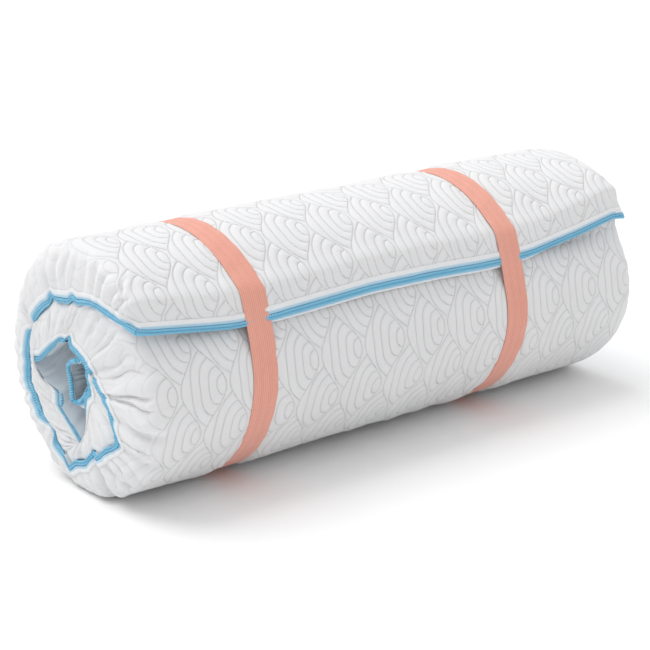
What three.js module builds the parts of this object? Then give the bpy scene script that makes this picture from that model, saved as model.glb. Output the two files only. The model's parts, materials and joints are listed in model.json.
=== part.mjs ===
// A single memory foam mattress, rolled up and held by two webbing straps.
//
// Millimetres, +Z up. X runs along the roll's axis, from its left end to its right end, and -Y is
// the front, where the outer end of the mattress lies as a flap. The origin is on the surface that
// the roll lies on, below the middle of the roll.
//
// The rolled mattress is one section, the same all along X. A place in that section is an angle
// `turn`, counted in degrees from the flap's tip along the rolled mattress (over the top, down the
// back, below, up the front, and so on inward), and a depth in from the mattress's outer face.

import * as THREE from "three";

// --- Driving dimensions -------------------------------------------------------------------------

const ROLL_LENGTH = 900; // the mattress's width
const MATTRESS_LENGTH = 2000;
const ROLL_RADIUS = 174;
const TURN_THICKNESS = 46; // a 50 mm mattress, squeezed by the straps
const FLAP_ANGLE = 62; // from the top towards the front, to the flap's tip
const TIP_THICKNESS = 10; // the flap ends in a wedge
const TIP_OVERHANG = 3.4; // degrees of lower tape beyond the coil's line
const SETTLE_SWEEP = 40; // degrees over which the wrap below the flap rises to full radius
const RAMP_SWEEPS = [35, 60, 90]; // degrees over which each inner turn steps inward
const CORE_SHIFT = 15; // how far the hollow core lies behind the roll's axis
const FACET = 12; // degrees from one corner of the section to the next

const FACE_FABRIC = 1.2;
const WADDING = 3.4;
const QUILT = 4.9; // a quilted border: face fabric and wadding sewn together
const MEMORY_FOAM_SHARE = 0.36; // of the foam core's thickness
const BOTTOM_FABRIC = 1.2;
const GAP = 0.3;
const TURN_GAP = 0.5;

const TAPE_THICKNESS = 1.5;
const COIL_HEIGHT = 3;
const END_COIL_SWEEP = 1.1; // half the coil's width at the flap, in degrees
const END_TAPE_START = 1.3;
const END_TAPE_END = 4.6;
const END_BORDER_END = 14.2;
const SEAM_SWEEP = 0.1; // degrees between one piece of the flap's edge and the next

const STRAP_WIDTH = 40;
const STRAP_THICKNESS = 2;
const STRAP_CLEARANCE = 0.5;
const STRAPS = { left_strap: -262, right_strap: 196 }; // middle of each band along X

// The edge of the mattress across its thickness, as shares from its top face to its bottom face.
const EDGE_BANDS = {
  border: [0.01, 0.555],
  upper_tape: [0.565, 0.735],
  coil: [0.745, 0.865],
  lower_tape: [0.875, 0.975],
};

// The slider is a channel that rides on the coil, and its pull tab is hinged between its two walls.
const SLIDER = { length: 12, width: 9, floor: 1.4, wall: 1.2, height: 4.4, lift: 0.4 };
const PULL = { length: 26, width: 5.6, thickness: 1.2, rise: 1.2, behindHinge: 0.8 };
const SLIDER_X = 434;
const PULL_HINGE_X = 443;

// --- The rolled section -------------------------------------------------------------------------

const { clamp, degToRad, radToDeg, smoothstep } = THREE.MathUtils;

const FULL_TURN = 360;
const HALF_LENGTH = ROLL_LENGTH / 2;
const FACET_COSINE = Math.cos(degToRad(FACET));
const FLAT_RADIUS = ROLL_RADIUS * FACET_COSINE;
const STRAP_RADIUS = ROLL_RADIUS + STRAP_CLEARANCE + STRAP_THICKNESS;
const AXIS_HEIGHT = STRAP_RADIUS * FACET_COSINE;
const FIXED_LAYERS = FACE_FABRIC + WADDING + BOTTOM_FABRIC + 4 * GAP + TURN_GAP;

// The angle from straight up towards the front.
const lean = (turn) => FLAP_ANGLE - turn;

// The section's corners are where the angle from straight up is a whole number of facets, so that
// every turn and both straps have their corners in line.
const FIRST_CORNER = FLAP_ANGLE % FACET;

// The outer face's radius, before the roll's weight flattens it. It also is the inner face's radius
// one turn earlier.
function wrapRadius(turn) {
  const lap = Math.max(0, Math.floor(turn / FULL_TURN));
  const within = turn - lap * FULL_TURN;
  const settle = clamp((FULL_TURN - within) / SETTLE_SWEEP, 0, 1);
  const dip = TIP_THICKNESS * (1 - settle) ** 2;
  let radius = ROLL_RADIUS - lap * TURN_THICKNESS - dip;
  if (lap > 0) {
    const ramp = smoothstep(within, 0, RAMP_SWEEPS[lap - 1]);
    radius += (TURN_THICKNESS - TIP_THICKNESS) * (1 - ramp);
    const shift = (CORE_SHIFT * (turn - FULL_TURN)) / (2 * FULL_TURN);
    radius -= shift * Math.sin(degToRad(lean(turn)));
  }
  return radius;
}

function outerRadius(turn) {
  const downward = Math.cos(degToRad(lean(turn) - FULL_TURN / 2));
  const floorLimit = turn < FULL_TURN && downward > 0 ? FLAT_RADIUS / downward : Infinity;
  return Math.min(wrapRadius(turn), floorLimit);
}

const thickness = (turn) => outerRadius(turn) - wrapRadius(turn + FULL_TURN);
const foamThickness = (turn) => thickness(turn) - FIXED_LAYERS;

function polar(turn, radius) {
  const angle = degToRad(lean(turn));
  return new THREE.Vector2(-radius * Math.sin(angle), AXIS_HEIGHT + radius * Math.cos(angle));
}

// A point at a depth below the outer face. Between two corners it lies on the straight facet.
function place(turn, depthAt) {
  const before = Math.floor((turn - FIRST_CORNER) / FACET) * FACET + FIRST_CORNER;
  const at = (corner) => polar(corner, outerRadius(corner) - depthAt(corner));
  return at(before).lerp(at(before + FACET), (turn - before) / FACET);
}

function turnsBetween(start, end) {
  const turns = [start];
  const first = Math.ceil((start - FIRST_CORNER + 0.01) / FACET) * FACET + FIRST_CORNER;
  for (let turn = first; turn < end - 0.01; turn += FACET) turns.push(turn);
  turns.push(end);
  return turns;
}

// A closed outline between two depths, from one turn angle to another.
function layerOutline(start, end, outerDepth, innerDepth) {
  const turns = turnsBetween(start, end);
  const outer = turns.map((turn) => place(turn, outerDepth));
  const inner = turns.map((turn) => place(turn, innerDepth)).reverse();
  return new THREE.Shape([...outer, ...inner]);
}

// How far round the mattress's own length reaches, along the middle of its thickness.
function findLastTurn() {
  const middle = (turn) => place(turn, (corner) => thickness(corner) / 2);
  let run = 0;
  let turn = 0;
  while (run < MATTRESS_LENGTH) {
    run += middle(turn).distanceTo(middle(turn + 1));
    turn += 1;
  }
  return turn;
}

const LAST_TURN = findLastTurn();

// --- Making meshes ------------------------------------------------------------------------------

const ALONG_X = new THREE.Matrix4().makeBasis(
  new THREE.Vector3(0, 1, 0),
  new THREE.Vector3(0, 0, 1),
  new THREE.Vector3(1, 0, 0),
);

const part = new THREE.Group();

function finish(color, roughness, metalness = 0) {
  return new THREE.MeshStandardMaterial({ color, roughness, metalness });
}

const whiteKnit = finish(0xeceaea, 0.9);
const waddingFibre = finish(0xf4f4f2, 0.95);
const memoryFoam = finish(0xf3efdd, 0.95);
const supportFoam = finish(0xe9edf0, 0.95);
const bottomKnit = finish(0xb9c6cc, 0.9);
const tapeWeave = finish(0xdfe8ee, 0.85);
const coilNylon = finish(0x5aa6cc, 0.5);
const coralWebbing = finish(0xe0a293, 0.8);
const nickel = finish(0xb9bcc0, 0.35, 1);

// A solid with one YZ outline, from one X to another.
function addPrism(name, shape, fromX, toX, material) {
  const geometry = new THREE.ExtrudeGeometry(shape, { depth: toX - fromX, bevelEnabled: false });
  geometry.applyMatrix4(ALONG_X);
  const mesh = new THREE.Mesh(geometry, material);
  mesh.name = name;
  mesh.position.x = fromX;
  part.add(mesh);
}

// --- The mattress's layers ----------------------------------------------------------------------

const CORE_HALF = HALF_LENGTH - QUILT - GAP;
const END_BORDER_SWEEP = 6; // the inner end's border stands beyond the layers
const FACE_START = END_BORDER_END + 2 * SEAM_SWEEP;
const MEMORY_START = 6; // the foams reach into the flap's wedge
const SUPPORT_START = 3;
const SIDE_EDGE_START = END_TAPE_START + 1.5;
const END_EDGE_STEP = 0.5;
const LAYER_END = LAST_TURN - END_BORDER_SWEEP;

const faceDepth = () => 0;
const faceBack = () => FACE_FABRIC;
const waddingDepth = () => FACE_FABRIC + GAP;
const waddingBack = () => FACE_FABRIC + GAP + WADDING;
const memoryDepth = (turn) => waddingBack(turn) + GAP;
const memoryBack = (turn) => memoryDepth(turn) + MEMORY_FOAM_SHARE * foamThickness(turn);
const supportDepth = (turn) => memoryBack(turn) + GAP;
const supportBack = (turn) => memoryDepth(turn) + GAP + foamThickness(turn);
const bottomDepth = (turn) => supportBack(turn) + GAP;
const bottomBack = (turn) => bottomDepth(turn) + BOTTOM_FABRIC;

function addLayers() {
  const layers = [
    ["top_cover_fabric", FACE_START, faceDepth, faceBack, whiteKnit],
    ["quilt_wadding", FACE_START, waddingDepth, waddingBack, waddingFibre],
    ["memory_foam_layer", MEMORY_START, memoryDepth, memoryBack, memoryFoam],
    ["support_foam_layer", SUPPORT_START, supportDepth, supportBack, supportFoam],
    ["bottom_panel", -TIP_OVERHANG, bottomDepth, bottomBack, bottomKnit],
  ];
  for (const [name, start, outerDepth, innerDepth, material] of layers) {
    const outline = layerOutline(start, LAYER_END, outerDepth, innerDepth);
    addPrism(name, outline, -CORE_HALF, CORE_HALF, material);
  }
}

// --- The edge all round: border, tapes and coil ---------------------------------------------------

const share = (fraction) => (turn) => fraction * thickness(turn);

const BAND_MATERIALS = {
  border: whiteKnit,
  upper_tape: tapeWeave,
  coil: coilNylon,
  lower_tape: tapeWeave,
};

const BAND_THICKNESS = {
  border: QUILT,
  upper_tape: TAPE_THICKNESS,
  coil: COIL_HEIGHT,
  lower_tape: TAPE_THICKNESS,
};

const edgeName = (side, band) => (band === "border" ? `${side}_border` : `${side}_zip_${band}`);

// The long sides of the mattress are the roll's two ends.
function addSideEdge(side, outward) {
  for (const [band, [from, to]] of Object.entries(EDGE_BANDS)) {
    const outline = layerOutline(SIDE_EDGE_START, LAYER_END, share(from), share(to));
    const inset = HALF_LENGTH - BAND_THICKNESS[band];
    const [fromX, toX] = outward < 0 ? [-HALF_LENGTH, -inset] : [inset, HALF_LENGTH];
    addPrism(edgeName(side, band), outline, fromX, toX, BAND_MATERIALS[band]);
  }
}

// The outer end lies folded down along the roll, so its border is the flap's outer face.
function addOuterEndEdge() {
  const strip = (from, to, depth) => layerOutline(from, to, faceDepth, () => depth);
  const pieces = {
    border: strip(END_TAPE_END + SEAM_SWEEP, END_BORDER_END, QUILT - GAP),
    upper_tape: strip(END_TAPE_START, END_TAPE_END, TAPE_THICKNESS),
    coil: strip(-END_COIL_SWEEP, END_COIL_SWEEP, COIL_HEIGHT),
    lower_tape: lowerTapeOutline(),
  };
  for (const [band, outline] of Object.entries(pieces)) {
    addPrism(edgeName("outer_end", band), outline, -CORE_HALF, CORE_HALF, BAND_MATERIALS[band]);
  }
}

// The lower tape turns in under the coil, down to the bottom panel.
const LOWER_TAPE = { lipDepth: 0.8, outerBend: 3, innerBend: 3.6, legSweep: 0.5 };

function lowerTapeOutline() {
  const { lipDepth, outerBend, innerBend, legSweep } = LOWER_TAPE;
  const lip = -END_COIL_SWEEP - 2 * SEAM_SWEEP;
  const outerEdge = SEAM_SWEEP - TIP_OVERHANG;
  const innerEdge = outerEdge + legSweep;
  const panel = (turn) => bottomDepth(turn) - GAP;
  return new THREE.Shape([
    place(lip, () => lipDepth),
    place(lip, () => lipDepth + TAPE_THICKNESS),
    place(innerEdge, () => innerBend),
    place(innerEdge, panel),
    place(outerEdge, panel),
    place(outerEdge, () => outerBend),
  ]);
}

// The inner end stands across the mattress's thickness, inside the core.
function addInnerEndEdge() {
  for (const [band, [from, to]] of Object.entries(EDGE_BANDS)) {
    const start = LAYER_END + END_EDGE_STEP;
    const middleRadius = outerRadius(LAYER_END) - ((from + to) / 2) * thickness(LAYER_END);
    const sweep = radToDeg(BAND_THICKNESS[band] / middleRadius);
    const outline = layerOutline(start, start + sweep, share(from), share(to));
    const name = edgeName("inner_end", band);
    addPrism(name, outline, -HALF_LENGTH, HALF_LENGTH, BAND_MATERIALS[band]);
  }
}

// --- The zip's slider -----------------------------------------------------------------------------

// The slider rides on the inner end's coil, and its pull tab lies back along the coil.
function addSlider() {
  const start = LAYER_END + END_EDGE_STEP;
  const [from, to] = EDGE_BANDS.coil;
  const radius = outerRadius(LAYER_END) - ((from + to) / 2) * thickness(LAYER_END);
  const top = start + radToDeg(COIL_HEIGHT / radius);
  const foot = place(top, share((from + to) / 2));
  const across = place(top, share(from)).sub(place(top, share(to))).normalize();
  const outward = new THREE.Vector2(across.y, -across.x);
  const corner = (sideways, up) =>
    foot.clone().addScaledVector(across, sideways).addScaledVector(outward, up);

  const side = SLIDER.width / 2;
  const inside = side - SLIDER.wall;
  const { lift } = SLIDER;
  const floor = lift + SLIDER.floor;
  const rim = lift + SLIDER.height;
  const channel = new THREE.Shape([
    corner(-side, lift),
    corner(side, lift),
    corner(side, rim),
    corner(inside, rim),
    corner(inside, floor),
    corner(-inside, floor),
    corner(-inside, rim),
    corner(-side, rim),
  ]);
  addPrism("zip_slider", channel, SLIDER_X, SLIDER_X + SLIDER.length, nickel);

  const low = floor + PULL.rise;
  const high = low + PULL.thickness;
  const tab = new THREE.Shape([
    corner(-PULL.width / 2, low),
    corner(PULL.width / 2, low),
    corner(PULL.width / 2, high),
    corner(-PULL.width / 2, high),
  ]);
  const hingeEnd = PULL_HINGE_X + PULL.behindHinge;
  addPrism("zip_pull_tab", tab, hingeEnd - PULL.length, hingeEnd, nickel);
}

// --- The straps -----------------------------------------------------------------------------------

// A band's corners are in line with the roll's own. Below the roll it is flat, without a corner.
function bandCorners(radius) {
  const points = [];
  for (let turn = FIRST_CORNER; turn < FULL_TURN; turn += FACET) {
    const straightDown = Math.abs(lean(turn)) === FULL_TURN / 2;
    if (!straightDown) points.push(polar(turn, radius));
  }
  return points.reverse(); // anticlockwise, which an outline with a hole needs
}

function addStrap(name, middleX) {
  const shape = new THREE.Shape(bandCorners(STRAP_RADIUS));
  shape.holes.push(new THREE.Path(bandCorners(STRAP_RADIUS - STRAP_THICKNESS)));
  addPrism(name, shape, middleX - STRAP_WIDTH / 2, middleX + STRAP_WIDTH / 2, coralWebbing);
}

addLayers();
addSideEdge("left", -1);
addSideEdge("right", 1);
addOuterEndEdge();
addInnerEndEdge();
addSlider();
for (const [name, middleX] of Object.entries(STRAPS)) addStrap(name, middleX);

export default part;
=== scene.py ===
"""The looks of a rolled memory foam mattress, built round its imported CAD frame.

Lengths are in millimetres until a mesh is made. X runs along the roll. In the roll's section, `back`
is towards +Y and `up` is towards +Z, both from the roll's axis. A place on the rolled mattress is
its `turn`, the angle in degrees from the flap's tip along the rolled mattress, and `q`, the way
across the mattress: along X over the roll, then over the rim and down the roll's end to the zip.
"""

import json
import math

import bpy
import numpy as np
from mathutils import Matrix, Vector

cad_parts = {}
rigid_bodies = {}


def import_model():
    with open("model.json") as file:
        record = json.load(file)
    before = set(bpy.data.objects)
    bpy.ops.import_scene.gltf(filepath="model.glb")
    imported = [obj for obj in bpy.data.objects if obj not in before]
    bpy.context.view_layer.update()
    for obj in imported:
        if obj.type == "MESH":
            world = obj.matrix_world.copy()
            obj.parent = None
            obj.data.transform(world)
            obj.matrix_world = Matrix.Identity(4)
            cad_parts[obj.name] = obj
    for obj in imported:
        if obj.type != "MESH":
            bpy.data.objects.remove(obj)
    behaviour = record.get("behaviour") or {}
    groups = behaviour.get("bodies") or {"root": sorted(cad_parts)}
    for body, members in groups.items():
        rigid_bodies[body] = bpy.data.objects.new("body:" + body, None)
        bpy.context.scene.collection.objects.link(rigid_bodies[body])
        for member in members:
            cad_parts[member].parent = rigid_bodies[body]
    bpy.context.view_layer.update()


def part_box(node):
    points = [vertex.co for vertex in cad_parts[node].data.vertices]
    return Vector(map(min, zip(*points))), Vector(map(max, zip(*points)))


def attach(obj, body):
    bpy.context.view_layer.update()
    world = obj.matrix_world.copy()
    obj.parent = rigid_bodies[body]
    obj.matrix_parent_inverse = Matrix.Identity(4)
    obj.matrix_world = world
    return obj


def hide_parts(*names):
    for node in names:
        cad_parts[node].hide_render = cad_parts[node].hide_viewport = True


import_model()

# --- Sizes ------------------------------------------------

MM = 0.001


def node_box(node):
    """A node's lowest and highest corners, in millimetres."""
    return [np.array(corner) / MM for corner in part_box(node)]


cover_high = node_box("top_cover_fabric")[1]
strap_boxes = {name: node_box(name) for name in ("left_strap", "right_strap")}

HALF_LENGTH = node_box("left_border")[0][0] * -1
ROLL_RADIUS = 174.0
AXIS_UP = cover_high[2] - ROLL_RADIUS
TURN_THICKNESS = 46.0
FLAP_ANGLE = 62.0
TIP_THICKNESS = 25.0
SETTLE_SWEEP = 48.0
RAMP_SWEEPS = np.array([1.0, 35.0, 60.0, 90.0])
CORE_SHIFT = 15.0
END_TURN = 1042.0
LAP = 360.0

RIM = 28.0  # how far from the roll's end its surface starts to curve over
INNER_RIM = 13.0  # the same for the turns inside
BODY = HALF_LENGTH - RIM
BAND = 48.0  # the nominal way from the rim's start to the zip, in q
EDGE = BODY + BAND
FLOOR_GAP = 0.3


def smooth(t):
    t = np.clip(t, 0, 1)
    return t * t * (3 - 2 * t)


def mix(a, b, t):
    return a + (b - a) * t


def running_mean(values, reach):
    """A running mean over reach places to each side."""
    kernel = np.ones(2 * reach + 1) / (2 * reach + 1)
    return np.convolve(np.pad(values, reach, mode="edge"), kernel, "valid")


# --- The rolled section -----------------------------------


def wrap_radius(turn):
    """The radius of the mattress's outer face. One turn on, it is the inner face's."""
    lap = np.clip(np.floor(turn / LAP), 0, 3).astype(int)
    within = turn - lap * LAP
    dip = TIP_THICKNESS * (1 - np.clip((LAP - within) / SETTLE_SWEEP, 0, 1)) ** 2
    step = (TURN_THICKNESS - TIP_THICKNESS) * (1 - smooth(within / RAMP_SWEEPS[lap]))
    shift = CORE_SHIFT * (turn - LAP) / (2 * LAP) * np.sin(np.radians(FLAP_ANGLE - turn))
    inner = np.where(lap > 0, step - shift, 0)
    return ROLL_RADIUS - lap * TURN_THICKNESS - dip + inner


# The flap's edge is lowest beside the straps and rises towards its corners: (X, angle). The values
# weren't chosen by hand: they are a measuring script's readings, thinned and rounded.
FLAP_LINE = np.array(
    [
        (-450, 57),
        (-400, 59.3),
        (-300, 64.2),
        (-230, 64.0),
        (-60, 61.8),
        (60, 62.6),
        (150, 64.2),
        (240, 63.8),
        (350, 59.2),
        (450, 54),
    ]
)


def flap_line(x):
    """The angle of the flap's edge from straight up, eased between the listed points."""
    spread = np.array([-18, -9, 0, 9, 18])
    weights = np.array([1, 3, 4, 3, 1]) / 12
    at = [np.interp(x + step, FLAP_LINE[:, 0], FLAP_LINE[:, 1]) for step in spread]
    return sum(w * a for w, a in zip(weights, at))


def lean_of(turn, x):
    """The angle from straight up towards the front, in radians."""
    sway = (flap_line(x) - FLAP_ANGLE) * np.exp(-np.clip(turn - 12, 0, None) / 14)
    return np.radians(FLAP_ANGLE - turn + sway)


STRAP_PINCH = 3.4
STRAP_SHOULDER = 1.6


def strap_middle(name):
    strap_low, strap_high = strap_boxes[name]
    return (strap_low[0] + strap_high[0]) / 2


def pinch(x):
    """How the roll's radius changes along X, where the straps squeeze it."""
    change = 0
    for name in strap_boxes:
        away = np.abs(x - strap_middle(name))
        change = change - STRAP_PINCH * np.exp(-((away / 25) ** 4))
        change = change + STRAP_SHOULDER * np.exp(-(((away - 46) / 20) ** 2))
    return change


def lumps(turn, x):
    """Slow unevenness of the foam below the cover."""
    s = turn * math.pi / 180 * ROLL_RADIUS
    wave = np.sin(x / 61 + np.sin(s / 83) * 1.3) * np.sin(s / 57 + 0.8)
    wave = wave + 0.7 * np.sin(x / 37 + s / 71 + 2.0) * np.sin(s / 101 - x / 140)
    return 0.9 * wave


FOLD_PROUD = 2.6  # the flap's fold stands this far out
TIP_DROP = 9.0  # from the fold down to the flap's tip
CORNER_LIFT = 9.0  # the flap's right corner stands this far off the roll
LEFT_CORNER_SHARE = 0.35  # and the left corner by this share of it
FLOOR_BLEND = 2.5  # over which the round section turns into the flat underside
FAR_AWAY = 9999.0


def outer_radius(turn, x):
    """The radius of the roll's seen surface."""
    radius = wrap_radius(turn) + 0.8 + pinch(x) + lumps(turn, x)
    fold = np.exp(-(((turn - 14) / 5) ** 2))
    radius = radius + FOLD_PROUD * fold - TIP_DROP * np.clip(1 - turn / 13.5, 0, 1) ** 1.15
    corner = smooth((np.abs(x) - 290) / 140) * mix(LEFT_CORNER_SHARE, 1, x > 0)
    radius = radius + CORNER_LIFT * corner * np.exp(-(((turn - 22) / 20) ** 2))
    down = np.cos(lean_of(turn, x) - math.pi)
    floor = np.where(down > 0.2, (AXIS_UP - FLOOR_GAP) / np.maximum(down, 0.2), FAR_AWAY)
    gap = np.clip(0.5 + 0.5 * (radius - floor) / FLOOR_BLEND, 0, 1)
    flattened = mix(radius, floor, gap) - FLOOR_BLEND * gap * (1 - gap)
    return np.where(turn < LAP, flattened, radius)


def polar(lean, radius):
    return -radius * np.sin(lean), radius * np.cos(lean)


# --- The zip's way along the roll's ends ------------------

# On the left end the edge lies in squashed loops, one for each stretch of the roll:
# (turn, middle's back, middle's up, half width, half height, how far inside the roll's end).
# The loops and the kinks were chosen to follow the outline of a traced edge.
LEFT_LOOPS = np.array(
    [
        (0, 0, 16, 162, 172, 10),
        (15, 0, 4, 140, 140, 3),
        (60, 0, -10, 115, 110, 3),
        (150, 20, -10, 115, 110, 3),
        (240, 25, -20, 110, 120, 3),
        (300, 0, -10, 110, 110, 2),
        (340, 0, -15, 55, 50, 4),
        (420, 40, 0, 50, 40, 4),
        (480, 30, -50, 100, 55, 4),
        (560, -30, -40, 60, 95, 14),
        (640, 10, -10, 40, 35, 7),
        (700, 5, 8, 25, 30, 9),
        (780, 30, -15, 20, 20, 14),
        (880, 15, -45, 15, 25, 16),
        (960, 10, -30, 20, 20, 18),
        (1042, 5, -8, 15, 15, 22),
        (1402, 5, -8, 15, 15, 22),
    ],
    float,
)
# Where it kinks: (turn, degrees to each side, how far out, or in where negative).
LEFT_KINKS = [
    (62, 5, 7),
    (86, 6, 9),
    (126, 7, -16),
    (170, 12, 8),
    (208, 12, -14),
    (240, 8, 12),
    (268, 6, -12),
    (300, 12, 12),
    (356, 8, -12),
    (405, 6, 12),
    (478, 9, 14),
    (518, 12, -12),
    (600, 14, -8),
    (662, 16, 8),
]
CORE_RECESS = 52.0  # on the left end the innermost turn's rim is drawn in this far
END_RECESS = 12.0  # and its inner end this far
RECESS_TURNS = (690.0, 770.0)
COIL_OFF = 5.0  # the coil lies this far outside the next turn's face


def recess_at(side, turn):
    if side > 0:
        return np.zeros_like(turn)
    start, end = RECESS_TURNS
    back_out = smooth((turn - 960) / (END_TURN - 960)) * (CORE_RECESS - END_RECESS)
    return CORE_RECESS * smooth((turn - start) / (end - start)) - back_out


def zigzag(turn, period, phase):
    """A wave with straight flanks, from -1 to 1."""
    return 2 * np.abs(2 * ((turn / period + phase) % 1) - 1) - 1


def left_edge(turns):
    """The squashed loops with their kinks, rounded off a little."""
    at = [np.interp(turns, LEFT_LOOPS[:, 0], LEFT_LOOPS[:, i]) for i in range(1, 6)]
    middle_back, middle_up, half_width, half_height, inset = [running_mean(a, 40) for a in at]
    lean = np.radians(FLAP_ANGLE - turns)
    out_back, out_up = -half_width * np.sin(lean), half_height * np.cos(lean)
    kink = np.zeros_like(turns)
    for turn, sweep, out in LEFT_KINKS:
        kink += out * np.clip(1 - np.abs(turns - turn) / sweep, 0, 1)
    kink = running_mean(kink, 5)
    grow = 1 + kink / np.hypot(out_back, out_up)
    inset = inset + np.clip(-kink, 0, None) * 0.5
    return middle_back + out_back * grow, middle_up + out_up * grow, inset


def right_edge(turns):
    fade = smooth((turns - 8) / 30)
    fade = fade * np.clip(wrap_radius(turns + LAP) / 130, 0.3, 1)
    wobble = fade * (7 * zigzag(turns, 61, 0.1) + 4 * zigzag(turns, 37, 0.6))
    inset = 4 + 4 * fade * zigzag(turns, 29, 0.4) + 6 * (1 - smooth(turns / 10))
    ideal = wrap_radius(turns + LAP) + COIL_OFF
    radius = mix(ROLL_RADIUS - 2, ideal + wobble, smooth(turns / 34))
    sideways = fade * 5 * zigzag(turns, 43, 0.9)
    lean = np.radians(mix(54.5, FLAP_ANGLE - turns, smooth(turns / 12)))
    back, up = polar(lean, radius)
    return back + sideways, up, inset


FINE_TURNS = np.arange(0, END_TURN + LAP, 0.25)
EDGES = {-1: left_edge(FINE_TURNS), 1: right_edge(FINE_TURNS)}


def edge_at(side, turn):
    back, up, inset = (np.interp(turn, FINE_TURNS, values) for values in EDGES[side])
    return back, up, inset


# --- The mattress's faces ---------------------------------

FLARE = 100.0  # from the roll's end, over which its turns take the shape of the crumpled edge
END_FLARE = 16.0  # the same at the inner end, so the zip's slider can pass
FACE_STEP = 6.5  # the next turn's face lies this far inside the edge


def nearness(side, turn, x):
    """0 far from the roll's end, 1 at it."""
    flare = mix(FLARE, END_FLARE, smooth((turn - 930) / 90))
    return 1 - (HALF_LENGTH - recess_at(side, turn) - side * x) / flare


def end_face(side, turn):
    """Where the outer face of the mattress meets the roll's end, as back and up."""
    back, up, _ = edge_at(side, np.maximum(turn - LAP, 0))
    length = np.hypot(back, up)
    inward = (length - FACE_STEP) / length
    return back * inward, up * inward


def outer_face(turn, x):
    """The place of the mattress's outer face, for any x short of the rim."""
    back, up = polar(lean_of(turn, x), outer_radius(turn, x))
    for side in (-1, 1):
        near = smooth(nearness(side, turn, x) * 1.25)
        weight = near * smooth((turn - 350) / 25)
        end_back, end_up = end_face(side, turn)
        back, up = mix(back, end_back, weight), mix(up, end_up, weight)
    return back, up


def inner_face(turn, x):
    """The place of the mattress's inner face, where the bottom panel is."""
    lean = np.radians(FLAP_ANGLE - turn)
    back, up = polar(lean, wrap_radius(turn + LAP) + 1.5)
    for side in (-1, 1):
        notch = np.exp(-(((turn - 680) / 45) ** 4))  # the slider passes behind this turn's notch
        near = smooth((nearness(side, turn, x) - 0.66 * notch) / (1 - 0.66 * notch) * 1.1)
        edge_back, edge_up, _ = edge_at(side, turn)
        length = np.hypot(edge_back, edge_up)
        inward = (length - 4) / length
        back = mix(back, edge_back * inward, near)
        up = mix(up, edge_up * inward, near)
    return back, up


def pleats(s, across, seed):
    """Puffed folds between sharp creases, running across a strip. s is the way along it."""
    rng = np.random.default_rng(seed)
    creases = np.cumsum(rng.uniform(11, 26, 260))
    heights = rng.uniform(0.25, 1.0, 260)
    slants = rng.uniform(-7, 7, 260)
    slant = np.interp(s, creases, slants)
    at = s + slant * across + 3 * np.sin(across * 5 + s / 31)
    index = np.clip(np.searchsorted(creases, at), 1, 259)
    start, end = creases[index - 1], creases[index]
    t = np.clip((at - start) / (end - start), 0, 1)
    return heights[index] * (1 - np.abs(2 * t - 1) ** 1.7)


def crumple(side, lean):
    """How deeply the end is pleated, in millimetres: most on the left end's front."""
    if side > 0:
        return 3.0
    front = np.exp(-(((np.degrees(lean) % 360 - 95) / 50) ** 2))
    return 4.5 + 7.5 * front


def rim_start(side, turn):
    """How far from the middle the mattress's outer face reaches, before its end curves over."""
    rim = mix(RIM, INNER_RIM, smooth((turn - 345) / 30))
    return HALF_LENGTH - recess_at(side, turn) - rim


def band_points(side, turn, v):
    """The end of the roll, from the rim's start (v = 0) to the zip's coil (v = 1)."""
    end = HALF_LENGTH - recess_at(side, turn)
    start_x = side * rim_start(side, turn)
    start_back, start_up = outer_face(turn, start_x)
    edge_back, edge_up, inset = edge_at(side, turn)
    edge_x = side * (HALF_LENGTH - inset)
    a = np.stack([start_x, start_back, start_up])
    d = np.stack([edge_x, edge_back, edge_up])
    corner = smooth(turn / 16)
    out = np.zeros_like(a)
    out[0] = side
    behind = smooth((start_back + 60) / 120)  # the front bulges less, so the zip shows past it
    puff = mix(0.5, 6.0, behind)
    rim = end - side * start_x
    b = mix(mix(a, d, 1 / 3), a + out * rim * 0.95, corner)
    middle = mix(a, d, mix(0.3, 0.5, behind))
    middle[0] = side * (end + puff)
    c = mix(mix(a, d, 2 / 3), middle, corner)
    w = 1 - v
    place = w**3 * a + 3 * w * w * v * b + 3 * w * v * v * c + v**3 * d
    width = np.hypot(a[1] - d[1], a[2] - d[2])
    lean = np.arctan2(-start_back, start_up)
    s = turn * math.pi / 180 * 120
    fold = pleats(s, v * width / 50, 40 + side) - 0.85
    depth = crumple(side, lean) * corner * smooth(v / 0.55) * (1 - 0.75 * smooth((v - 0.72) / 0.28))
    place[0] = place[0] + side * fold * depth
    return place


CORNER_ROUND = 11.0  # how far the flap's corners are cut back


def face_points(turn, q):
    """A place on the cover's outer face: x, back and up."""
    q = q * (1 - CORNER_ROUND / EDGE * (1 - smooth((turn - 0.8) / 6)))
    x = np.clip(q, -BODY, BODY) / BODY
    x = x * np.where(q < 0, rim_start(-1, turn), rim_start(1, turn))
    back, up = outer_face(turn, x)
    place = np.stack([x, back, up])
    v = np.clip((np.abs(q) - BODY) / BAND, 0, 1)
    for side in (-1, 1):
        at_end = side * q > BODY
        if at_end.any():
            place[:, at_end] = band_points(side, turn[at_end], v[at_end])
    return place


def with_lift(turn, q, lift):
    """Points on the cover, moved out of it by lift, and the directions out of it."""
    step_turn, step_q = 0.15, 0.5
    here = face_points(turn, q)
    along = face_points(turn + step_turn, q) - face_points(np.maximum(turn - step_turn, 0), q)
    across = face_points(turn, q + step_q) - face_points(turn, q - step_q)
    normal = np.cross(across, along, axis=0)
    normal /= np.maximum(np.linalg.norm(normal, axis=0), 1e-6)
    return here + normal * lift, normal


# --- Making meshes ----------------------------------------


def to_rows(place):
    """x, back, up arrays as rows of points in the frame, in metres."""
    points = place.reshape(3, -1).T.copy()
    points[:, 2] += AXIS_UP
    return points * MM


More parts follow.
